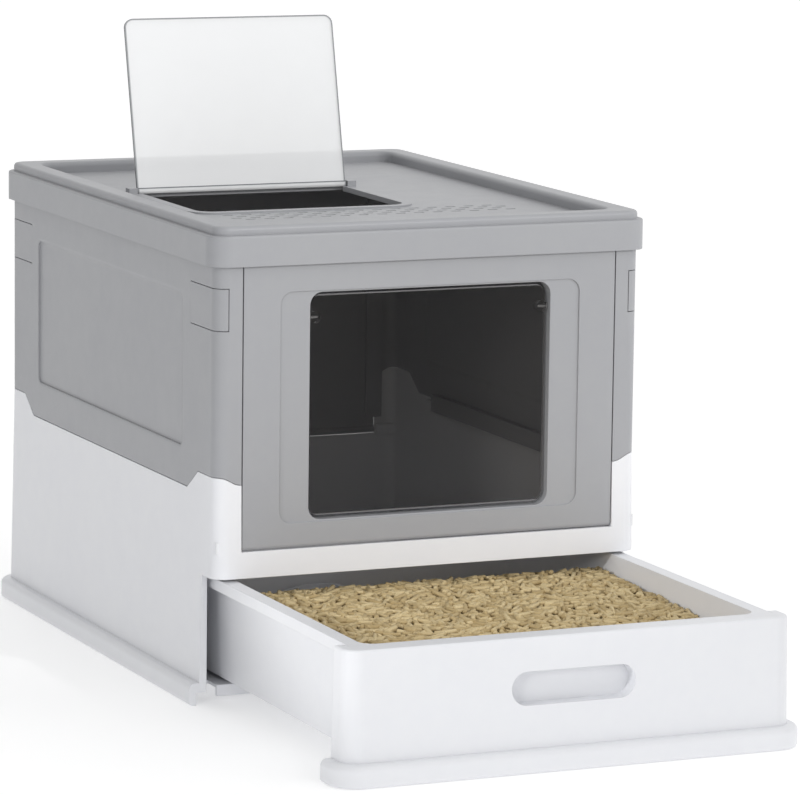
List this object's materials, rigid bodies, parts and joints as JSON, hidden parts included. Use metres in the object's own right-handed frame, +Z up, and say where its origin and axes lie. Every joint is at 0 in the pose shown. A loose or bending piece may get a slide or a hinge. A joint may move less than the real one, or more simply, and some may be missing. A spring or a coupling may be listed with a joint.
{
  "type": "covered litter box",
  "caption": "Covered litter box: white base with a pull-out tray, grey fold-down walls with a swinging door flap, and a lift-off lid with a hinged clear exit flap.",
  "frame": {"origin": "on the floor, under the middle of the base", "axes": "+Z up, +Y from the door and drawer towards the back, +X to the right seen from the front"},
  "size_m": [0.3802, 0.7563, 0.5047],
  "materials": {
    "white_plastic": "satin white moulded plastic",
    "grey_plastic": "fine-grained satin grey moulded plastic",
    "clear_plastic": "clear glossy sheet plastic",
    "smoke_plastic": "smoke-tinted glossy sheet plastic",
    "litter": "loose tan pressed-fibre pellets"
  },
  "bodies": {
    "base": {"base_shell": "white_plastic", "left_side_panel": "grey_plastic", "right_side_panel": "grey_plastic", "side_panel_pins": "grey_plastic"},
    "drawer": {"drawer_tray": "white_plastic", "drawer_front": "white_plastic", "litter_bed": "litter", "litter_scoop": "white_plastic"},
    "front_wall": {"front_panel": "grey_plastic", "front_panel_pins": "grey_plastic"},
    "rear_wall": {"rear_panel": "grey_plastic", "rear_panel_pins": "grey_plastic"},
    "door": {"door_flap": "smoke_plastic", "door_flap_pins": "grey_plastic"},
    "lid_body": {"lid": "grey_plastic"},
    "exit_flap": {"top_flap": "clear_plastic", "top_flap_pins": "grey_plastic"},
    "latch_front_left": {"front_left_latch": "grey_plastic"},
    "latch_front_right": {"front_right_latch": "grey_plastic"},
    "latch_rear_left": {"rear_left_latch": "grey_plastic"},
    "latch_rear_right": {"rear_right_latch": "grey_plastic"}
  },
  "joints": [
    {"name": "drawer_slide", "type": "slide", "parent": "base", "child": "drawer", "axis": [0, -1, 0], "range_m": [-0.2593, 0.05]},
    {"name": "lid_lift", "type": "slide", "parent": "base", "child": "lid_body", "axis": [0, 0, 1], "range_m": [0, 0.06]},
    {"name": "exit_flap_hinge", "type": "hinge", "parent": "lid_body", "child": "exit_flap", "pos_m": [-0.04325, 0.05065, 0.367], "axis": [1, 0, 0], "range_deg": [0, 103.5]},
    {"name": "front_wall_fold", "type": "hinge", "parent": "base", "child": "front_wall", "pos_m": [0, -0.234, 0.1262], "axis": [-1, 0, 0], "range_deg": [0, 90]},
    {"name": "rear_wall_fold", "type": "hinge", "parent": "base", "child": "rear_wall", "pos_m": [0, 0.234, 0.1262], "axis": [1, 0, 0], "range_deg": [0, 90]},
    {"name": "door_swing", "type": "hinge", "parent": "front_wall", "child": "door", "pos_m": [0, -0.2295, 0.3002], "axis": [-1, 0, 0], "range_deg": [-75, 75]},
    {"name": "latch_front_left_flex", "type": "hinge", "parent": "base", "child": "latch_front_left", "pos_m": [-0.1786, -0.183, 0.3096], "axis": [0, 0, -1], "range_deg": [0, 6], "stiffness_Nm_per_rad": 0.5},
    {"name": "latch_front_right_flex", "type": "hinge", "parent": "base", "child": "latch_front_right", "pos_m": [0.1786, -0.183, 0.3096], "axis": [0, 0, 1], "range_deg": [0, 6], "stiffness_Nm_per_rad": 0.5},
    {"name": "latch_rear_left_flex", "type": "hinge", "parent": "base", "child": "latch_rear_left", "pos_m": [-0.1786, 0.183, 0.3096], "axis": [0, 0, 1], "range_deg": [0, 6], "stiffness_Nm_per_rad": 0.5},
    {"name": "latch_rear_right_flex", "type": "hinge", "parent": "base", "child": "latch_rear_right", "pos_m": [0.1786, 0.183, 0.3096], "axis": [0, 0, -1], "range_deg": [0, 6], "stiffness_Nm_per_rad": 0.5}
  ]
}
